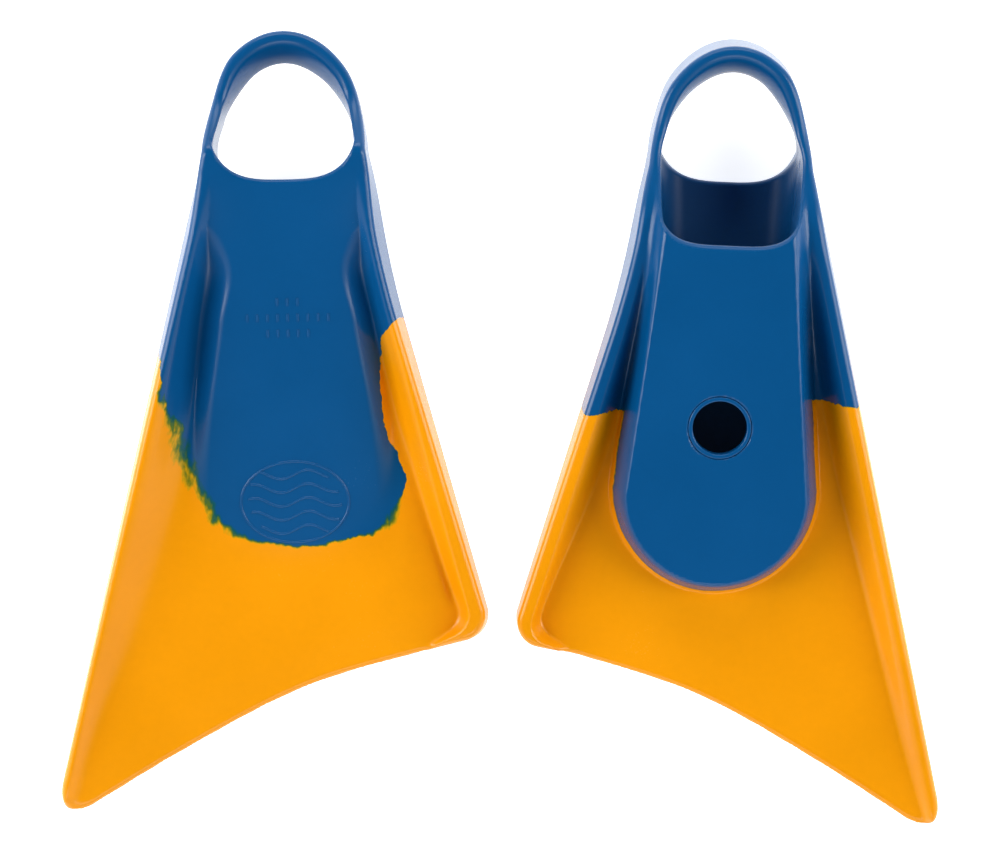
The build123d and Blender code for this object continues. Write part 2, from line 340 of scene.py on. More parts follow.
    def plan_distance(self, x: Array, station: Array, height: Array) -> Array:
        """Distance outside the fin's outline, drawn in towards top and sole by the draft of its sides."""
        long_side, short_side = self.side_distance(x, station)
        parting = (self.rest_height(station) + self.underside(station)) / 2
        above = height - parting
        draft = np.where(above > 0.0, self.top_draft * above, -self.sole_draft * above)
        draft = draft * ramp(station, 45.0, 110.0)
        sides = soft_max(np.maximum(long_side, short_side), self.heel_distance(x, station), 5.0) + draft
        tip_radius = mix(self.long_tip_radius, self.short_tip_radius, ramp(x, -20.0, 20.0))
        return round_max(sides, self.trail_distance(x, station), tip_radius)

    def flat_slope(self, surface: Callable[[Array, Array], Array], x: Array, station: Array) -> Array:
        """How much longer a sloping surface is than its plan, which turns heights into distances."""
        step = 0.5
        across = (surface(x + step, station) - surface(x - step, station)) / (2 * step)
        along = (surface(x, station + step) - surface(x, station - step)) / (2 * step)
        return np.sqrt(1.0 + across**2 + along**2)

    def room(self, x: Array, station: Array, height: Array, top: Array) -> Array:
        """Field of the space for the foot: the pocket's inside, its mouth and the loop of the strap."""
        middle = (self.strap_low + self.strap_high) / 2
        bulge = np.clip(1.0 - np.abs((height - middle) / (self.strap_high - middle)) ** 1.35, 0.0, 1.0)
        inner = self.inner_distance(x, station, self.strap_crown * bulge * (1 - ramp(station, 8.0, 52.0)))
        ceiling = self.instep_line(station) - self.instep_thickness - self.fall(x)
        ceiling = np.minimum(ceiling, top - self.least_roof)
        pocket = round_max(round_max(inner, height - ceiling, 13.0), self.sole_thickness - height, 7.0)
        across = np.clip(np.abs(x) / self.instep_half_width, 0.0, 1.0)
        instep_edge = self.instep_station - self.instep_corner_depth * (1.0 - np.sqrt(1.0 - across**3.2))
        sole_across = np.clip(np.abs(x) / (self.sole_edge_half_width - 1.0), 0.0, 1.0)
        sole_edge = self.sole_station + 1.5 - 22.0 * (1.0 - (1.0 - sole_across**4) ** 0.5)
        above = soft_max(inner, np.maximum(station - instep_edge, middle - height), 1.0)
        below = soft_max(inner, np.maximum(station - sole_edge, height - middle), 1.0)
        return np.minimum(soft_min(pocket, above, 2.0), soft_min(pocket, below, 2.0))

    def rubber(self, x: Array, y: Array, z: Array) -> Array:
        """The whole fin's field at points of its own frame."""
        station = -y
        top = self.top_surface(x, station)
        upper = soft_min(top, self.strap_high + 24.0 * ramp(station, 30.0, 78.0), 3.0)
        over = (z - upper) / self.flat_slope(self.top_surface, x, station)
        lower = self.sole_surface(x, station)
        under = (lower - z) / self.flat_slope(self.sole_surface, x, station)
        faces = round_max(over, under, 1.6)
        solid = round_max(faces, self.plan_distance(x, station, z), self.edge_radius)
        seat = np.hypot(x, station - self.drain_station) - self.drain_radius - self.drain_ring
        hole = np.maximum(seat, z - 3 * self.sole_thickness)
        return soft_max(soft_max(solid, -self.room(x, station, z, top), 3.0), -hole, 0.7)


# Meshing -----------------------------------------------------------------------------------------


@dataclass
class Net:
    """A closed mesh of a field's zero surface."""

    points: Array
    quads: Array

    @classmethod
    def of(cls, shape: Field, low: Point, high: Point, cell: float) -> "Net":
        """Meshes the surface of a field inside a box.

        Args:
            shape: The field, negative inside.
            low: The box's lowest corner.
            high: The box's highest corner.
            cell: The side of a mesh face, about.

        Returns:
            The mesh, with one point in each cell that the surface crosses.
        """
        axes = [np.arange(a, b + cell, cell) for a, b in zip(low, high)]
        grids = (axes[0][:, None, None], axes[1][None, :, None], axes[2][None, None, :])
        values = np.broadcast_to(shape(*grids), tuple(len(a) for a in axes)).astype(np.float32)
        inside = values < 0.0
        corners = [(i, j, k) for i in (0, 1) for j in (0, 1) for k in (0, 1)]
        size = [n - 1 for n in values.shape]
        count = sum(
            inside[i : i + size[0], j : j + size[1], k : k + size[2]].astype(np.int8) for i, j, k in corners
        )
        cells = np.argwhere((count > 0) & (count < 8))
        number = np.full(size, -1, np.int64)
        number[tuple(cells.T)] = np.arange(len(cells))
        origin = np.array([a[0] for a in axes])
        points = origin + cls.crossings(values, cells) * cell
        return cls(points, cls.faces(inside, number)).settled(shape, cell)

    @staticmethod
    def crossings(values: Array, cells: Array) -> Array:
        """The middle of the surface's crossings of each cell's edges, in cells."""
        total = np.zeros((len(cells), 3))
        found = np.zeros((len(cells), 1))
        for axis in range(3):
            for side in range(4):
                start = np.zeros(3, int)
                start[(axis + 1) % 3], start[(axis + 2) % 3] = side & 1, side >> 1
                end = start.copy()
                end[axis] = 1
                a = values[tuple((cells + start).T)].astype(float)
                b = values[tuple((cells + end).T)].astype(float)
                crosses = (a < 0) != (b < 0)
                share = np.where(crosses, a / np.where(crosses, a - b, 1.0), 0.0)
                at = cells + start + share[:, None] * (end - start)
                total += np.where(crosses[:, None], at, 0.0)
                found += crosses[:, None]
        return total / np.maximum(found, 1)

    @staticmethod
    def faces(inside: Array, number: Array) -> Array:
        """The quads round every grid edge that the surface crosses, facing out."""
        made = []
        for axis in range(3):
            u, v = (axis + 1) % 3, (axis + 2) % 3
            first = [slice(None)] * 3
            second = [slice(None)] * 3
            first[axis], second[axis] = slice(None, -1), slice(1, None)
            a, b = inside[tuple(first)], inside[tuple(second)]
            edges = np.argwhere(a != b)
            edges = edges[(edges[:, u] > 0) & (edges[:, v] > 0)]
            edges = edges[(edges[:, u] < number.shape[u]) & (edges[:, v] < number.shape[v])]
            ring = []
            for du, dv in ((1, 1), (0, 1), (0, 0), (1, 0)):
                near = edges.copy()
                near[:, u] -= du
                near[:, v] -= dv
                ring.append(number[tuple(near.T)])
            quads = np.stack(ring, 1)
            outward = a[tuple(edges.T)]
            made.append(np.where(outward[:, None], quads, quads[:, ::-1]))
        return np.concatenate(made)

    def neighbours_middle(self) -> Array:
        """The mean place of each point's neighbours along the mesh's edges."""
        count = len(self.points)
        total = np.zeros((count, 3))
        found = np.zeros(count)
        for a, b in ((0, 1), (1, 2), (2, 3), (3, 0)):
            for here, there in ((a, b), (b, a)):
                index, other = self.quads[:, here], self.points[self.quads[:, there]]
                found += np.bincount(index, minlength=count)
                for axis in range(3):
                    total[:, axis] += np.bincount(index, weights=other[:, axis], minlength=count)
        return total / np.maximum(found, 1.0)[:, None]

    def settled(self, shape: Field, cell: float, rounds: int = 4) -> "Net":
        """The same mesh with its points spread evenly and moved onto the surface."""
        for turn in range(rounds):
            value, slope = value_and_slope(shape, self.points)
            steepness = np.maximum((slope**2).sum(1), 0.05)
            step = slope * (value / steepness)[:, None]
            length = np.maximum(np.linalg.norm(step, axis=1, keepdims=True), 1e-9)
            self.points = self.points - step * np.minimum(1.0, 0.5 * cell / length)
            if turn < rounds - 1:
                drift = (self.neighbours_middle() - self.points) * 0.5
                out = slope / np.sqrt(steepness)[:, None]
                self.points = self.points + drift - out * (drift * out).sum(1, keepdims=True)
        return self


def value_and_slope(shape: Field, points: Array) -> tuple[Array, Array]:
    """A field's value and gradient at points."""
    step = 0.25
    x, y, z = points.T
    across = shape(x + step, y, z) - shape(x - step, y, z)
    along = shape(x, y + step, z) - shape(x, y - step, z)
    up = shape(x, y, z + step) - shape(x, y, z - step)
    return shape(x, y, z), np.stack([across, along, up], 1) / (2 * step)


def face_outwards(mesh: bpy.types.Mesh) -> None:
    """Turns the faces of a closed mesh outwards."""
    shell = bmesh.new()
    shell.from_mesh(mesh)
    bmesh.ops.recalc_face_normals(shell, faces=shell.faces[:])
    shell.to_mesh(mesh)
    shell.free()


def values_of(elements: Iterable, name: str, width: int, kind: type = float) -> Array:
    """The values that a mesh's elements have for one of their properties, a row for each element."""
    values = np.empty(len(elements) * width, kind)
    elements.foreach_get(name, values)
    return values.reshape(-1, width)


def mark_places(mesh: bpy.types.Mesh, shape: FinShape, pocket_inside: Array | None = None) -> None:
    """Gives a mesh the attributes that the rubber's colours read.

    Args:
        mesh: The mesh, in the fin's own frame.
        shape: The fin's sizes.
        pocket_inside: How far each point belongs to the pocket's inside, which is nowhere if left out.
        The colours paint shade there and make the rubber rougher.
    """
    places = values_of(mesh.vertices, "co", 3) / MM
    inside = -shape.pocket_distance(places[:, 0], -places[:, 1])
    if pocket_inside is None:
        pocket_inside = np.zeros(len(places))
    for name, kind, key, values in (
        ("rest_place", "FLOAT_VECTOR", "vector", places),
        ("sole_share", "FLOAT", "value", inside),
        ("lining_share", "FLOAT", "value", pocket_inside),
    ):
        mesh.attributes.new(name, kind, "POINT").data.foreach_set(key, values.astype(np.float32).ravel())


# Pieces of a fin ---------------------------------------------------------------------------------


class Body(Enum):
    """The three parts of a fin that move on their own."""

    POCKET = "pocket"
    STRAP = "strap"
    BLADE_END = "blade_end"


class Slot(Enum):
    """The record's material slots."""

    POCKET = "pocket_rubber"
    BLADE = "blade_rubber"


@dataclass(frozen=True)
class Cut:
    """A plane through the moulding, which keeps what lies on the side its normal points to."""

    point: Point
    normal: Point

    @property
    def other(self) -> "Cut":
        """The same plane, keeping the other side."""
        return Cut(self.point, tuple(-n for n in self.normal))


@dataclass(frozen=True)
class Zone:
    """One piece of the moulding: where it is cut, what it stands for and how it moves."""

    name: str
    cuts: tuple[Cut, ...]
    nodes: tuple[str, ...]
    slot: Slot
    bends_to: Body | None = None


@dataclass(frozen=True)
class Bend:
    """Where a piece turns from following the pocket to following another body, in the fin's own frame."""

    start: Point
    end: Point


@dataclass
class Moulding:
    """The rubber of a fin as a mesh in its own frame, and its division into pieces."""

    shape: FinShape
    cell: float
    strap_cut: float = 70.0
    long_rail_line: Knots = ((-43.0, 115.0), (-88.4, 300.0))
    short_rail_line: Knots = ((42.0, 115.0), (83.0, 270.0))
    flex_origin: tuple[float, float] = (-8.0, 295.5)
    flex_heading: tuple[float, float] = (0.9666, -0.2561)
    bend_before: float = 8.0
    bend_after: float = 38.0

    def __post_init__(self) -> None:
        """Meshes the whole moulding once."""
        long_end = self.shape.long_side_flare * 350.0 + self.shape.long_side_start
        low = (-long_end - 4.0, -self.shape.tip_station - 9.0, -3.0)
        high = (long_end - 18.0, 4.0, self.shape.instep_height + 8.0)
        net = Net.of(self.shape.rubber, low, high, self.cell)
        self.whole = bpy.data.meshes.new("whole_fin")
        self.whole.from_pydata((net.points * MM).tolist(), [], net.quads.tolist())
        LOG.info("moulding: %d faces of about %.1f mm", len(net.quads), self.cell)

    @property
    def flex_across(self) -> tuple[float, float]:
        """Direction across the flex axis towards the tips, as (x, station)."""
        return (-self.flex_heading[1], self.flex_heading[0])

    def past_flex(self, distance: float) -> Point:
        """The point of the flex axis's middle moved towards the tips."""
        x = self.flex_origin[0] + self.flex_across[0] * distance
        return (x, -(self.flex_origin[1] + self.flex_across[1] * distance), self.shape.web_tip_height)

    def bend(self, body: Body) -> Bend:
        """Where a piece bends between the pocket and that body."""
        if body is Body.STRAP:
            depth = self.shape.heel_depth
            return Bend((0.0, -depth + 2.0, 45.0), (0.0, -depth + 34.0, 45.0))
        start, end = self.past_flex(-self.bend_before), self.past_flex(self.bend_after)
        return Bend(start, (end[0], end[1], start[2]))

    @staticmethod
    def beside(line: Knots) -> Cut:
        """The upright plane through two (x, station) points, keeping the middle of the fin."""
        (x0, s0), (x1, s1) = line
        run, rise = s1 - s0, x1 - x0
        side = 1.0 if x0 < 0 else -1.0
        return Cut((x0, -s0, 0.0), (side * run, side * rise, 0.0))

    def zones(self) -> list[Zone]:
        """The pieces that a fin is divided into."""
        heel = Cut((0.0, -self.strap_cut, 0.0), (0.0, 1.0, 0.0))
        long_rail, short_rail = self.beside(self.long_rail_line), self.beside(self.short_rail_line)
        across = self.flex_across
        tips = Cut(self.past_flex(-self.bend_before), (across[0], -across[1], 0.0))
        roots = ("long_side_strap_root", "short_side_strap_root")
        walls = ("long_side_pocket_wall", "short_side_pocket_wall")
        pocket = (heel.other, long_rail, short_rail, tips.other)
        end = (Slot.BLADE, Body.BLADE_END)
        rails = [
            Zone(name, (heel.other, cut.other), (name + "_root", name, name + "_tip"), *end)
            for name, cut in (("long_rail", long_rail), ("short_rail", short_rail))
        ]
        return [
            Zone("heel_strap", (heel,), ("heel_strap", *roots), Slot.POCKET, Body.STRAP),
            Zone("foot_pocket", pocket, ("instep_panel", "sole_panel", "toe_wall", *walls), Slot.POCKET),
            *rails,
            Zone("blade", (long_rail, short_rail, tips), ("blade_web", "blade_tail"), *end),
        ]

    def piece(self, zone: Zone) -> bpy.types.Mesh:
        """Cuts one piece out of the moulding.

        Args:
            zone: The piece to cut.

        Returns:
            A closed mesh in the fin's own frame, whose normals follow the field and which carries the
            places that its colours are laid out by.
        """
        shell = bmesh.new()
        shell.from_mesh(self.whole)
        caps: list[tuple[Vector, Vector]] = []
        for cut in zone.cuts:
            point, normal = Vector(cut.point) * MM, Vector(cut.normal).normalized()
            everything = shell.verts[:] + shell.edges[:] + shell.faces[:]
            made = bmesh.ops.bisect_plane(
                shell, geom=everything, dist=1e-7, plane_co=point, plane_no=normal, clear_inner=True
            )
            rim = [e for e in made["geom_cut"] if isinstance(e, bmesh.types.BMEdge)]
            bmesh.ops.triangle_fill(shell, edges=rim, use_beauty=True, normal=-normal)
            caps.append((point, normal))
        bmesh.ops.recalc_face_normals(shell, faces=shell.faces[:])
        mesh = bpy.data.meshes.new(zone.name)
        shell.to_mesh(mesh)
        shell.free()
        self.dress_surface(mesh, caps)
        return mesh

    def dress_surface(self, mesh: bpy.types.Mesh, caps: list[tuple[Vector, Vector]]) -> None:
        """Gives a piece its smooth normals and the attributes that its colours read."""
        places = values_of(mesh.vertices, "co", 3) / MM
        _, slope = value_and_slope(self.shape.rubber, places)
        normals = slope / np.maximum(np.linalg.norm(slope, axis=1, keepdims=True), 1e-9)
        by_corner = normals[values_of(mesh.loops, "vertex_index", 1, np.int64)[:, 0]]
        facing = values_of(mesh.polygons, "normal", 3)
        middles = values_of(mesh.polygons, "center", 3)
        totals = values_of(mesh.polygons, "loop_total", 1, np.int64)[:, 0]
        for point, normal in ((np.array(point), np.array(normal)) for point, normal in caps):
            on_cap = (np.abs((middles - point) @ normal) < 1e-5) & (facing @ normal < -0.99)
            by_corner[np.repeat(on_cap, totals)] = -normal
        mesh.polygons.foreach_set("use_smooth", np.ones(len(mesh.polygons), bool))
        mesh.normals_split_custom_set(by_corner.tolist())
        x, station, height = places[:, 0], -places[:, 1], places[:, 2]
        room = self.shape.room(x, station, height, self.shape.top_surface(x, station))
        # The pocket's inside, from the mouth inwards: the rubber gets painted shade and a rougher finish
        # there.
        mark_places(mesh, self.shape, (1.0 - ramp(room, 0.4, 2.2)) * ramp(station, 58.0, 84.0))


@dataclass(frozen=True)
class DrainRing:
    """The rolled rim of the drain hole, turned about the hole's own axis."""

    shape: FinShape
    around: int = 96
    rim: float = 0.7
    seat_gap: float = 0.12

    def section(self) -> list[tuple[float, float]]:
        """The ring's section as (radius, height) points, going round it once."""
        inner = self.shape.drain_radius
        outer = inner + self.shape.drain_ring - self.seat_gap
        top = self.shape.sole_thickness
        points: list[tuple[float, float]] = []
        corners = ((inner, 0.0, 180.0), (outer, 0.0, 270.0), (outer, top, 0.0), (inner, top, 90.0))
        for radius, height, start in corners:
            cx = radius + (self.rim if radius == inner else -self.rim)
            cz = height + (self.rim if height == 0.0 else -self.rim)
            for step in range(6):
                angle = math.radians(start + 90.0 * step / 5)
                points.append((cx + self.rim * math.cos(angle), cz + self.rim * math.sin(angle)))
        return points

    def mesh(self) -> bpy.types.Mesh:
        """The ring as a closed mesh in the fin's own frame."""
        section = self.section()
        turns = [2 * math.pi * i / self.around for i in range(self.around)]
        points = [
            (r * math.cos(a) * MM, (r * math.sin(a) - self.shape.drain_station) * MM, z * MM)
            for a in turns
            for r, z in section
        ]
        n = len(section)
        faces = []
        for i in range(self.around):
            here, there = i * n, (i + 1) % self.around * n
            faces += [(here + j, there + j, there + (j + 1) % n, here + (j + 1) % n) for j in range(n)]
        mesh = bpy.data.meshes.new("drain_ring")
        mesh.from_pydata(points, [], faces)
        face_outwards(mesh)
        mesh.polygons.foreach_set("use_smooth", np.ones(len(mesh.polygons), bool))
        mark_places(mesh, self.shape)
        return mesh


# Raised marks by Geometry Nodes ------------------------------------------------------------------


@dataclass
class Tree:
    """A Geometry Nodes tree under construction, with a short way to add and join its nodes."""

    group: bpy.types.NodeTree
    source: bpy.types.Node
    sink: bpy.types.Node

    @classmethod
    def new(cls, name: str, bead: float, sizes: dict[str, tuple[str, float]]) -> "Tree":
        """Starts the tree of a raised mark.

        Args:
            name: The tree's name.
            bead: The radius of its lines.
            sizes: For each named input of its own, its socket type and its default value.

        Returns:
            The tree, with its input and output nodes in place.
        """
        group = bpy.data.node_groups.new(name, "GeometryNodeTree")
        group.interface.new_socket("Geometry", in_out="OUTPUT", socket_type="NodeSocketGeometry")
        inputs = {
            "Rubber": ("NodeSocketObject", None),
            "Material": ("NodeSocketMaterial", None),
            "Centre": ("NodeSocketVector", None),
            "Bead": ("NodeSocketFloat", bead),
        }
        for label, (kind, value) in {**inputs, **sizes}.items():
            socket = group.interface.new_socket(label, in_out="INPUT", socket_type=kind)
            if value is not None:
                socket.default_value = value
        return cls(group, group.nodes.new("NodeGroupInput"), group.nodes.new("NodeGroupOutput"))

    def add(self, kind: str, settings: dict | None = None, sockets: dict | None = None) -> bpy.types.Node:
        """Adds a node.

        Args:
            kind: The node's type.
            settings: Its own properties, which are set first.
            sockets: Values or links for its inputs, by name or by number.

        Returns:
            The node.
        """
        node = self.group.nodes.new(kind)
        for name, value in (settings or {}).items():
            setattr(node, name, value)
        for key, value in (sockets or {}).items():
            socket = node.inputs[key]
            if isinstance(value, bpy.types.NodeSocket):
                self.group.links.new(value, socket)
            else:
                socket.default_value = value
        return node

    def maths(self, operation: str, *values: bpy.types.NodeSocket | float) -> bpy.types.NodeSocket:
        """The result of one Math node."""
        return self.add("ShaderNodeMath", {"operation": operation}, dict(enumerate(values))).outputs[0]

    def vector(self, **parts: bpy.types.NodeSocket | float) -> bpy.types.NodeSocket:
        """The vector with the given X, Y and Z."""
        return self.add("ShaderNodeCombineXYZ", None, parts).outputs[0]

    def shifted(self, place: bpy.types.NodeSocket, rise: float) -> bpy.types.NodeSocket:
        """A place moved up."""
        sockets = {0: place, 1: (0.0, 0.0, rise)}
        return self.add("ShaderNodeVectorMath", {"operation": "ADD"}, sockets).outputs[0]

    def copied_line(
        self, points: bpy.types.Node, start: bpy.types.NodeSocket, end: bpy.types.NodeSocket, steps: int
    ) -> bpy.types.NodeSocket:
        """A straight line from start to end, in short steps, copied onto points."""
        line = self.add("GeometryNodeCurvePrimitiveLine", None, {"Start": start, "End": end})
        fine = self.add("GeometryNodeResampleCurve", None, {"Curve": line.outputs[0], "Count": steps})
        sockets = {"Points": points.outputs[0], "Instance": fine.outputs[0]}
        copies = self.add("GeometryNodeInstanceOnPoints", None, sockets)
        return self.add("GeometryNodeRealizeInstances", None, {0: copies.outputs[0]}).outputs[0]

    def laid(self, geometry: bpy.types.NodeSocket, sink_in: float) -> bpy.types.NodeSocket:
        """Drops points straight down onto the rubber named by the tree's own Rubber input."""
        rubber = self.add("GeometryNodeObjectInfo", None, {"Object": self.source.outputs["Rubber"]})
        place = self.add("GeometryNodeInputPosition").outputs[0]
        sockets = {
            "Target Geometry": rubber.outputs["Geometry"],
            "Source Position": self.shifted(place, 0.2),
            "Ray Direction": (0.0, 0.0, -1.0),
            "Ray Length": 1.0,
        }
        ray = self.add("GeometryNodeRaycast", None, sockets)
        lift = self.shifted(ray.outputs["Hit Position"], -sink_in)
        return self.add("GeometryNodeSetPosition", None, {"Geometry": geometry, "Position": lift}).outputs[0]

    def moulded(self, curves: bpy.types.NodeSocket, sink_in: float) -> bpy.types.NodeTree:
        """Ends the tree with round beads along curves that are moved to the centre and laid on the rubber."""
        sizes = self.source.outputs
        moved = self.add("GeometryNodeTransform", None, {"Geometry": curves, "Translation": sizes["Centre"]})
        lying = self.laid(moved.outputs[0], sink_in)
        sockets = {"Resolution": 8, "Radius": sizes["Bead"]}
        profile = self.add("GeometryNodeCurvePrimitiveCircle", None, sockets)
        sockets = {"Curve": lying, "Profile Curve": profile.outputs[0], "Fill Caps": True}
        beads = self.add("GeometryNodeCurveToMesh", None, sockets)
        real = self.add("GeometryNodeRealizeInstances", None, {0: beads.outputs[0]})
        sockets = {"Geometry": real.outputs[0], "Material": sizes["Material"]}
        painted = self.add("GeometryNodeSetMaterial", None, sockets)
        self.group.links.new(painted.outputs[0], self.sink.inputs[0])
        return self.group


@dataclass(frozen=True)
class WaveBadge:
    """A plain badge of wave lines in an oval, moulded a little proud of the toe end."""

    centre: tuple[float, float] = (1.0, 242.0)
    width: float = 56.0
    height: float = 42.0
    bead: float = 0.75
    waves: int = 5
    crests: float = 2.0
    steps: int = 96
    reach: float = 0.68
    inset: float = 0.86
    swell: float = 0.11

    def tree(self) -> bpy.types.NodeTree:
        """The Geometry Nodes tree that draws the badge."""
        inputs = {
            "Width": ("NodeSocketFloat", self.width * MM),
            "Height": ("NodeSocketFloat", self.height * MM),
            "Waves": ("NodeSocketInt", self.waves),
            "Crests": ("NodeSocketFloat", self.crests),
        }
        tree = Tree.new("wave_badge", self.bead * MM, inputs)
        sizes = tree.source.outputs
        half_width = tree.maths("MULTIPLY", sizes["Width"], 0.5)
        half_height = tree.maths("MULTIPLY", sizes["Height"], 0.5)
        low, high = (tree.maths("MULTIPLY", half_height, reach) for reach in (-self.reach, self.reach))
        low, high = tree.vector(Y=low), tree.vector(Y=high)
        sockets = {"Count": sizes["Waves"], "Start Location": low, "Offset": high}
        rows = tree.add("GeometryNodeMeshLine", {"mode": "END_POINTS"}, sockets)
        left = tree.vector(X=tree.maths("MULTIPLY", half_width, -1.0))
        real = tree.copied_line(rows, left, tree.vector(X=half_width), self.steps)
        place = tree.add("ShaderNodeSeparateXYZ", None, {0: tree.add("GeometryNodeInputPosition").outputs[0]})
        across, along = place.outputs[0], place.outputs[1]
        level = tree.maths("DIVIDE", along, half_height)
        room = tree.maths("SQRT", tree.maths("SUBTRACT", 1.0, tree.maths("MULTIPLY", level, level)))
        narrow = tree.maths("MULTIPLY", across, tree.maths("MULTIPLY", room, self.inset))
        turns = tree.maths("MULTIPLY", tree.maths("DIVIDE", narrow, half_width), sizes["Crests"])
        swell = tree.maths("SINE", tree.maths("MULTIPLY", turns, math.pi))
        rise = tree.maths("MULTIPLY", swell, tree.maths("MULTIPLY", half_height, self.swell))
        waved = tree.vector(X=narrow, Y=tree.maths("ADD", along, rise))
        waves = tree.add("GeometryNodeSetPosition", None, {"Geometry": real, "Position": waved})
        circle = tree.add("GeometryNodeCurvePrimitiveCircle", None, {"Resolution": 128, "Radius": 1.0})
        sockets = {"Geometry": circle.outputs[0], "Scale": tree.vector(X=half_width, Y=half_height, Z=1.0)}
        oval = tree.add("GeometryNodeTransform", None, sockets)
        joined = tree.add("GeometryNodeJoinGeometry")
        for part in (waves, oval):
            tree.group.links.new(part.outputs[0], joined.inputs[0])
        return tree.moulded(joined.outputs[0], self.bead * MM * SUNK)


@dataclass(frozen=True)
class SizePips:
    """Rows of short raised bars that stand in for moulded words."""

    centre: tuple[float, float] = (0.0, 147.0)
    length: float = 3.8
    spacing: float = 5.2
    row_spacing: float = 8.0
    bead: float = 0.75
    rows: tuple[int, ...] = (3, 9, 5)
    steps: int = 5

    def tree(self) -> bpy.types.NodeTree:
        """The Geometry Nodes tree that draws one row of bars."""
        inputs = {
            "Count": ("NodeSocketInt", 3),
            "Length": ("NodeSocketFloat", self.length * MM),
            "Spacing": ("NodeSocketFloat", self.spacing * MM),
        }
        tree = Tree.new("size_pips", self.bead * MM, inputs)
        sizes = tree.source.outputs
        span = tree.maths("MULTIPLY", tree.maths("SUBTRACT", sizes["Count"], 1.0), sizes["Spacing"])
        sockets = {
            "Count": sizes["Count"],
            "Start Location": tree.vector(X=tree.maths("MULTIPLY", span, -0.5)),
            "Offset": tree.vector(X=sizes["Spacing"]),
        }
        row = tree.add("GeometryNodeMeshLine", {"mode": "OFFSET"}, sockets)
        low, high = (tree.vector(Y=tree.maths("MULTIPLY", sizes["Length"], end)) for end in (-0.5, 0.5))
        bars = tree.copied_line(row, low, high, self.steps)
        return tree.moulded(bars, self.bead * MM * SUNK)


def grown(tree: bpy.types.NodeTree, name: str, values: dict[str, object]) -> bpy.types.Mesh:
    """Runs a Geometry Nodes tree once and keeps its result as a plain mesh.

    Args:
        tree: The tree to run.
        name: The name of the mesh.
        values: The values of the tree's named inputs.

    Returns:
        The mesh that the tree makes.
    """
    carrier = bpy.data.objects.new(name + "_carrier", bpy.data.meshes.new(name + "_carrier"))
    bpy.context.scene.collection.objects.link(carrier)
    modifier = carrier.modifiers.new("grow", "NODES")
    modifier.node_group = tree
    for item in tree.interface.items_tree:
        if item.in_out == "INPUT" and item.name in values:
            modifier[item.identifier] = values[item.name]
    graph = bpy.context.evaluated_depsgraph_get()
    mesh = bpy.data.meshes.new_from_object(carrier.evaluated_get(graph), depsgraph=graph)
    carrier.modifiers.remove(modifier)
    bpy.data.objects.remove(carrier)
    mesh.name = name
    return mesh


# Rubber ------------------------------------------------------------------------------------------


@dataclass
class Shader:
    """The node tree of a material, or of the world, under construction."""

    owner: bpy.types.Material | bpy.types.World

    @classmethod
    def new(cls, name: str) -> "Shader":
        """Starts an empty node material."""
        material = bpy.data.materials.new(name)
        material.use_nodes = True
        material.node_tree.nodes.clear()
        return cls(material)

    def add(self, kind: str, settings: dict | None = None, sockets: dict | None = None) -> bpy.types.Node:
        """Adds a node.

        Args:
            kind: The node's type.
            settings: Its own properties; stops is a colour ramp's list of (place, colour) pairs.
            sockets: Values, or Signals to link, for its inputs by name or by number.

        Returns:
            The node.
        """
        tree = self.owner.node_tree
        node = tree.nodes.new(kind)
        for name, value in (settings or {}).items():
            if name == "stops":
                self.set_stops(node, value)
            else:
                setattr(node, name, value)
        for key, value in (sockets or {}).items():
            if isinstance(value, Signal):
                tree.links.new(value.socket, node.inputs[key])
            else:
                node.inputs[key].default_value = value
        return node

    @staticmethod
    def set_stops(node: bpy.types.Node, stops: Iterable[tuple[float, tuple[float, ...]]]) -> None:
        """Gives a colour ramp its stops."""
        elements = node.color_ramp.elements
        pairs = list(stops)
        while len(elements) < len(pairs):
            elements.new(1.0)
        for element, (place, colour) in zip(elements, pairs):
            element.position = place
            element.color = (*colour, 1.0)

    def signal(
        self, kind: str, settings: dict | None = None, sockets: dict | None = None, out: str | int = 0
    ) -> "Signal":
        """Adds a node and returns one of its outputs."""
        return Signal(self, self.add(kind, settings, sockets).outputs[out])

    def profile(self, at: "Signal", knots: Knots) -> "Signal":
        """A value read from straight runs between knots.

        Args:
            at: The position to read at, of 0 or more.
            knots: The (position, value) points.

        Returns:
            The value at that position.
        """
        span = knots[-1][0]
        low, high = min(v for _, v in knots), max(v for _, v in knots)
        stops = [(place / span, ((value - low) / (high - low),) * 3) for place, value in knots]
        return self.signal("ShaderNodeValToRGB", {"stops": stops}, {"Fac": at / span}) * (high - low) + low

    def noise(self, place: "Signal", scale: float, detail: float, stretch: Point = (1, 1, 1)) -> "Signal":
        """Noise from -0.5 to 0.5, about, whose features are 1/scale across before they are stretched."""
        mapped = self.signal("ShaderNodeVectorMath", {"operation": "MULTIPLY"}, {0: place, 1: stretch})
        sockets = {"Vector": mapped, "Scale": scale, "Detail": detail}
        return self.signal("ShaderNodeTexNoise", None, sockets) - 0.5

    def surfaced(self, sockets: dict) -> bpy.types.Material:
        """Ends a material with a surface of those values, and returns it."""
        body = self.signal("ShaderNodeBsdfPrincipled", None, sockets)
        self.add("ShaderNodeOutputMaterial", None, {"Surface": body})
        return self.owner


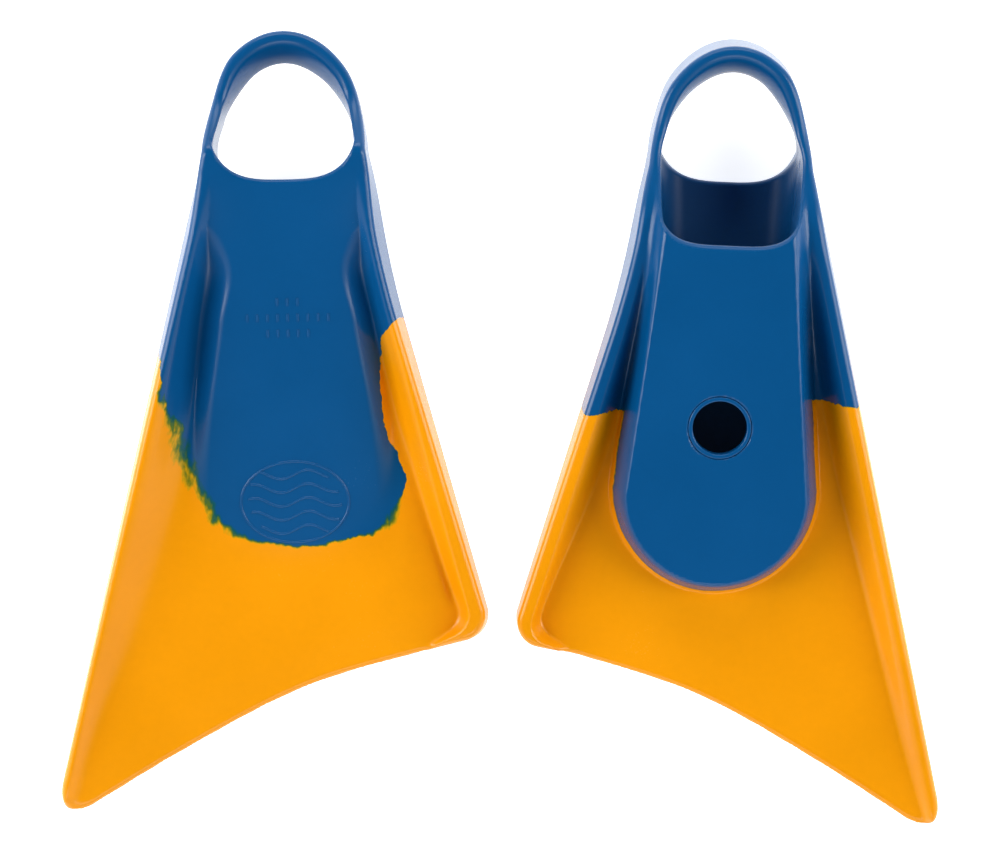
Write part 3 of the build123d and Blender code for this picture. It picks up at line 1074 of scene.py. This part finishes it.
@dataclass
class Signal:
    """An output of a shader node that takes part in ordinary arithmetic."""

    shader: Shader
    socket: bpy.types.NodeSocket

    def maths(self, operation: str, *values: "Signal | float", clamp: bool = False) -> "Signal":
        """One Math node over values."""
        settings = {"operation": operation, "use_clamp": clamp}
        return self.shader.signal("ShaderNodeMath", settings, dict(enumerate(values)))

    def __add__(self, other: "Signal | float") -> "Signal":
        """Sum."""
        return self.maths("ADD", self, other)

    __radd__ = __add__

    def __sub__(self, other: "Signal | float") -> "Signal":
        """Difference."""
        return self.maths("SUBTRACT", self, other)

    def __rsub__(self, other: float) -> "Signal":
        """Difference from a number."""
        return self.maths("SUBTRACT", other, self)

    def __mul__(self, other: "Signal | float") -> "Signal":
        """Product."""
        return self.maths("MULTIPLY", self, other)

    __rmul__ = __mul__

    def __truediv__(self, other: "Signal | float") -> "Signal":
        """Quotient."""
        return self.maths("DIVIDE", self, other)

    def __neg__(self) -> "Signal":
        """Opposite."""
        return self.maths("MULTIPLY", self, -1.0)

    def least(self, other: "Signal | float") -> "Signal":
        """The smaller of two values."""
        return self.maths("MINIMUM", self, other)

    def most(self, other: "Signal | float") -> "Signal":
        """The larger of two values."""
        return self.maths("MAXIMUM", self, other)

    def clamped(self) -> "Signal":
        """The value held between 0 and 1."""
        return self.maths("MULTIPLY", self, 1.0, clamp=True)

    def step(self, start: float, end: float) -> "Signal":
        """A smooth step from 0 at start to 1 at end."""
        settings = {"interpolation_type": "SMOOTHSTEP"}
        sockets = {"Value": self, "From Min": start, "From Max": end}
        return self.shader.signal("ShaderNodeMapRange", settings, sockets)


@dataclass(frozen=True)
class TwoColourRubber:
    """Natural rubber moulded in two colours, which meet along a ragged line where they ran together."""

    blue: Point = (0.0006, 0.073, 0.225)
    yellow: Point = (0.83, 0.300, 0.0005)
    first_bleed: Point = (0.52, 0.30, 0.004)
    bleed: Point = (0.085, 0.150, 0.010)
    dark_bleed: Point = (0.004, 0.085, 0.075)
    roughness: float = 0.24
    specular: float = 0.36
    # Strength of the painted shade that darkens the colour of the pocket's inside.
    painted_pocket_shade: float = 0.70
    long_side_line: Knots = (
        (0.0, 100.0), (160.0, 100.0), (163.0, 67.0), (193.0, 65.0), (200.0, 60.0), (209.0, 57.0),
        (231.0, 51.0), (252.0, 39.0), (260.0, 26.0), (266.0, 0.0), (272.0, -30.0),
    )
    short_side_line: Knots = (
        (0.0, 100.0), (144.0, 100.0), (147.0, 58.0), (158.0, 47.0), (179.0, 46.0), (200.0, 48.0),
        (211.0, 51.0), (222.0, 56.0), (232.0, 59.0), (243.0, 55.0), (254.0, 51.0), (260.0, 40.0),
        (266.0, 0.0), (272.0, -30.0),
    )
    sole_long_line: float = 182.0
    sole_short_line: float = 192.0

    def material(self, shape: FinShape, name: str) -> bpy.types.Material:
        """Builds the material.

        Args:
            shape: The fin's sizes, for the height that parts its top side from its sole side.
            name: The material's name.

        Returns:
            The finished node material.
        """
        shader = Shader.new(name)
        place = shader.signal("ShaderNodeAttribute", {"attribute_name": "rest_place"}, None, "Vector")
        inside = shader.signal("ShaderNodeAttribute", {"attribute_name": "sole_share"}, None, "Fac")
        parts = shader.add("ShaderNodeSeparateXYZ", None, {0: place})
        x, y, z = (Signal(shader, parts.outputs[i]) for i in range(3))
        station = -y
        coarse = shader.noise(place, 0.055, 3.0)
        fine = shader.noise(place, 0.30, 4.0)
        streaks = shader.noise(place, 0.16, 3.0, (1.0, 0.42, 1.0))
        ragged = station + coarse * 5.0 + fine * 2.5
        long_width = shader.profile(ragged, self.long_side_line)
        short_width = shader.profile(ragged, self.short_side_line)
        to_long = x + long_width + coarse * 5.0 + fine * 3.0
        to_short = short_width - x + coarse * 4.0 + fine * 2.5
        low_left = (station - x * 0.50).step(206.0, 246.0)
        top = to_long.least(to_short) + streaks * (3.0 + 22.0 * low_left)
        sole_line = x.step(-20.0, 20.0) * (self.sole_short_line - self.sole_long_line) + self.sole_long_line
        by_line = sole_line - station + coarse * 4.0 + fine * 3.0
        sole = by_line.most(inside + 1.5 + coarse * 1.5 + fine * 0.8)
        web = (shape.toe_end - station) * shape.web_slope + shape.web_toe_height
        upper = (z - web).step(-1.5, 1.5)
        depth = upper * top + (1.0 - upper) * sole
        bottom = station.step(238.0, 262.0) * (1.0 - low_left)
        spread = 0.6 + upper * (low_left * (8.5 + streaks * 12.0) + bottom * (4.0 + streaks * 5.0))
        colours = (self.yellow, self.first_bleed, self.bleed, self.dark_bleed, self.blue)
        stops = [(i / (len(colours) - 1), colour) for i, colour in enumerate(colours)]
        share = (depth / spread + 0.5).clamped()
        mixed = shader.signal("ShaderNodeValToRGB", {"stops": stops}, {"Fac": share})
        cloud = shader.noise(place, 0.012, 4.0)
        # Painted shade: the pocket's inside is darkened in colour, more so deeper in, and also made rougher.
        pocket_inside = shader.signal("ShaderNodeAttribute", {"attribute_name": "lining_share"}, None, "Fac")
        shade_deep_in_pocket = pocket_inside * station.step(100.0, 175.0)
        # The mottle is the rubber's own random tone; the rest is the painted pocket shade.
        mottle = 1.0 + cloud * 0.26 + shader.noise(place, 0.25, 3.0) * 0.05
        mottle_and_painted_shade = mottle * (1.0 - shade_deep_in_pocket * self.painted_pocket_shade)
        tinted = shader.signal("ShaderNodeVectorMath", {"operation": "SCALE"}, {0: mixed, "Scale": mottle_and_painted_shade})
        gloss = self.roughness + cloud * 0.10 + shader.noise(place, 0.9, 2.0) * 0.08 + pocket_inside * 0.2
        bumps = {"Height": shader.noise(place, 1.6, 3.0), "Strength": 0.10, "Distance": 0.00005}
        sockets = {
            "Base Color": tinted,
            "Roughness": gloss,
            "IOR": 1.47,
            "Specular IOR Level": self.specular,
            "Normal": shader.signal("ShaderNodeBump", None, bumps, "Normal"),
        }
        return shader.surfaced(sockets)


@dataclass(frozen=True)
class PaleFloor:
    """A plain pale floor."""

    colour: tuple[float, float, float] = (0.93, 0.93, 0.93)
    size: float = 9.0
    gap: float = 0.0004
    glow: float = 0.80

    def lay(self) -> None:
        """Lays the floor just under the fins."""
        sockets = {
            "Base Color": (*self.colour, 1.0),
            "Roughness": 0.9,
            "Specular IOR Level": 0.1,
            "Emission Color": (1.0, 1.0, 1.0, 1.0),
            "Emission Strength": self.glow,
        }
        half = self.size / 2
        corners = [(x * half, y * half, -self.gap) for x, y in ((-1, -1), (1, -1), (1, 1), (-1, 1))]
        mesh = bpy.data.meshes.new("floor")
        mesh.from_pydata(corners, [], [(0, 1, 2, 3)])
        mesh.materials.append(Shader.new("pale_floor").surfaced(sockets))
        floor = bpy.data.objects.new("floor", mesh)
        bpy.context.scene.collection.objects.link(floor)


# A fin in its place ------------------------------------------------------------------------------


@dataclass
class Fin:
    """One fin, laid where the frame has it."""

    number: int
    moulding: Moulding
    rubber: bpy.types.Material
    badge: bpy.types.Mesh
    pips: bpy.types.Mesh

    @property
    def prefix(self) -> str:
        """Start of the names of this fin's nodes and bodies."""
        return f"fin_{self.number}_"

    def place(self) -> Matrix:
        """The fin's own frame in the shared frame, from its strap hinge and its drain hole."""
        joints = {j["name"]: j for j in frame["joints"]}
        mounts = {m["name"]: m for m in frame["record"]["mounts"]}
        hinge = joints[self.prefix + "strap_swing"]
        x = Vector(hinge["axis"]).normalized()
        z = -Vector(mounts[self.prefix + "drain_hole"]["axis"]).normalized()
        z = (z - x * z.dot(x)).normalized()
        y = z.cross(x)
        turn = Matrix((x, y, z)).transposed()
        shape = self.moulding.shape
        pivot = Vector((0.0, -shape.heel_depth, (shape.strap_low + shape.strap_high) / 2)) * MM
        origin = Vector(hinge["pos_m"]) - turn @ pivot
        return Matrix.Translation(origin) @ turn.to_4x4()

    def add(self, name: str, mesh: bpy.types.Mesh, slot: Slot) -> bpy.types.Object:
        """Adds a finished mesh of this fin to the scene, moved from the fin's frame into the shared one."""
        mesh.transform(self.place())
        mesh.materials.clear()
        mesh.materials.append(self.rubber)
        piece = bpy.data.objects.new(self.prefix + name, mesh)
        bpy.context.scene.collection.objects.link(piece)
        LOG.info("%s%s: %d faces", self.prefix, name, len(mesh.polygons))
        return piece

    def body(self, body: Body) -> str:
        """The frame's name for one of this fin's bodies."""
        return self.prefix + body.value

    def build(self) -> None:
        """Builds every piece of the fin, ties the pocket's pieces and raised marks to the pocket's body and
        hides the frame's parts that the pieces replace.
        """
        place = self.place()
        for zone in self.moulding.zones():
            piece = self.add(zone.name + "_moulding", self.moulding.piece(zone), zone.slot)
            if zone.bends_to is None:
                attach(piece, self.body(Body.POCKET))
            else:
                bend = self.moulding.bend(zone.bends_to)
                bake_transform(piece)
            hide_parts(*(self.prefix + node for node in zone.nodes))
        ring = DrainRing(self.moulding.shape).mesh()
        marks = {"wave_badge": self.badge.copy(), "size_pips": self.pips.copy(), "drain_ring": ring}
        for name, mark in marks.items():
            piece = self.add(name, mark, Slot.POCKET)
            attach(piece, self.body(Body.POCKET))


def raised_marks(moulding: Moulding, rubber: bpy.types.Material) -> tuple[bpy.types.Mesh, bpy.types.Mesh]:
    """Draws the badge and the pips on a fin in its own frame.

    Args:
        moulding: The fin whose top side they lie on.
        rubber: Their material.

    Returns:
        The badge's mesh and the pips' mesh.
    """
    model = bpy.data.objects.new("rubber_to_lie_on", moulding.whole)
    bpy.context.scene.collection.objects.link(model)
    badge, pips = WaveBadge(), SizePips()
    centre = (badge.centre[0] * MM, -badge.centre[1] * MM, 0.0)
    values = {"Rubber": model, "Material": rubber, "Centre": centre}
    badge_mesh = grown(badge.tree(), "wave_badge", values)
    tree = pips.tree()
    shell = bmesh.new()
    for row, count in enumerate(pips.rows):
        centre = (pips.centre[0] * MM, -(pips.centre[1] + (row - 1) * pips.row_spacing) * MM, 0.0)
        shell.from_mesh(grown(tree, f"size_pips_{row}", {**values, "Centre": centre, "Count": count}))
    pips_mesh = bpy.data.meshes.new("size_pips")
    shell.to_mesh(pips_mesh)
    shell.free()
    bpy.data.objects.remove(model)
    for mesh in (badge_mesh, pips_mesh):
        face_outwards(mesh)
        mesh.polygons.foreach_set("use_smooth", np.ones(len(mesh.polygons), bool))
        mark_places(mesh, moulding.shape)
    return badge_mesh, pips_mesh


# Studio ------------------------------------------------------------------------------------------


@dataclass(frozen=True)
class SoftBox:
    """A large soft light that looks at the fins."""

    name: str
    place: tuple[float, float, float]
    size: tuple[float, float]
    power: float

    def hang(self) -> None:
        """Adds the light."""
        light = bpy.data.lights.new(self.name, "AREA")
        light.shape = "RECTANGLE"
        light.size, light.size_y = self.size
        light.energy = self.power
        lamp = bpy.data.objects.new(self.name, light)
        lamp.location = self.place
        lamp.rotation_euler = (-Vector(self.place)).to_track_quat("-Z", "Y").to_euler()
        bpy.context.scene.collection.objects.link(lamp)


@dataclass(frozen=True)
class Studio:
    """Soft light from every side and a camera straight overhead."""

    camera_height: float = 2.4
    picture_width: float = 0.526
    centre: tuple[float, float] = (0.0, -0.002)
    horizon: float = 0.85
    zenith: float = 0.06
    fade_start: float = 0.35
    fade_end: float = 0.85
    boxes: tuple[SoftBox, ...] = (
        SoftBox("left_box", (-1.7, 0.1, 1.05), (0.8, 1.8), 31.0),
        SoftBox("right_box", (1.7, 0.1, 1.05), (0.8, 1.8), 25.0),
        SoftBox("far_box", (0.0, 1.7, 1.0), (1.8, 0.7), 13.0),
        SoftBox("near_box", (0.0, -1.6, 1.3), (1.6, 0.5), 7.0),
    )

    def light(self) -> None:
        """Lights the scene."""
        world = bpy.data.worlds.new("studio")
        world.use_nodes = True
        shader = Shader(world)
        direction = shader.signal("ShaderNodeTexCoord", out="Generated")
        height = shader.signal("ShaderNodeSeparateXYZ", None, {0: direction}, "Z")
        sockets = {
            "Value": height,
            "From Min": self.fade_start,
            "From Max": self.fade_end,
            "To Min": self.horizon,
            "To Max": self.zenith,
        }
        strength = shader.signal("ShaderNodeMapRange", {"interpolation_type": "SMOOTHSTEP"}, sockets)
        background = world.node_tree.nodes["Background"].inputs
        background["Color"].default_value = (1.0, 1.0, 1.0, 1.0)
        world.node_tree.links.new(strength.socket, background["Strength"])
        bpy.context.scene.world = world
        bpy.context.scene.view_settings.view_transform = "Standard"
        for box in self.boxes:
            box.hang()

    def aim(self) -> None:
        """Sets the camera."""
        camera = bpy.data.cameras.new("overhead")
        camera.sensor_width = 36.0
        camera.lens = camera.sensor_width * self.camera_height / self.picture_width
        eye = bpy.data.objects.new("overhead", camera)
        eye.location = (*self.centre, self.camera_height)
        bpy.context.scene.collection.objects.link(eye)
        bpy.context.scene.camera = eye


def main() -> None:
    """Builds the pair of fins and their studio."""
    shape = FinShape()
    moulding = Moulding(shape, cell=1.2)
    rubber = TwoColourRubber().material(shape, "two_colour_rubber")
    badge, pips = raised_marks(moulding, rubber)
    for number in (1, 2):
        Fin(number, moulding, rubber, badge, pips).build()
    PaleFloor().lay()
    studio = Studio()
    studio.light()
    studio.aim()


if __name__ == "__main__":
    logging.basicConfig(level=logging.INFO, format="%(message)s")
    main()
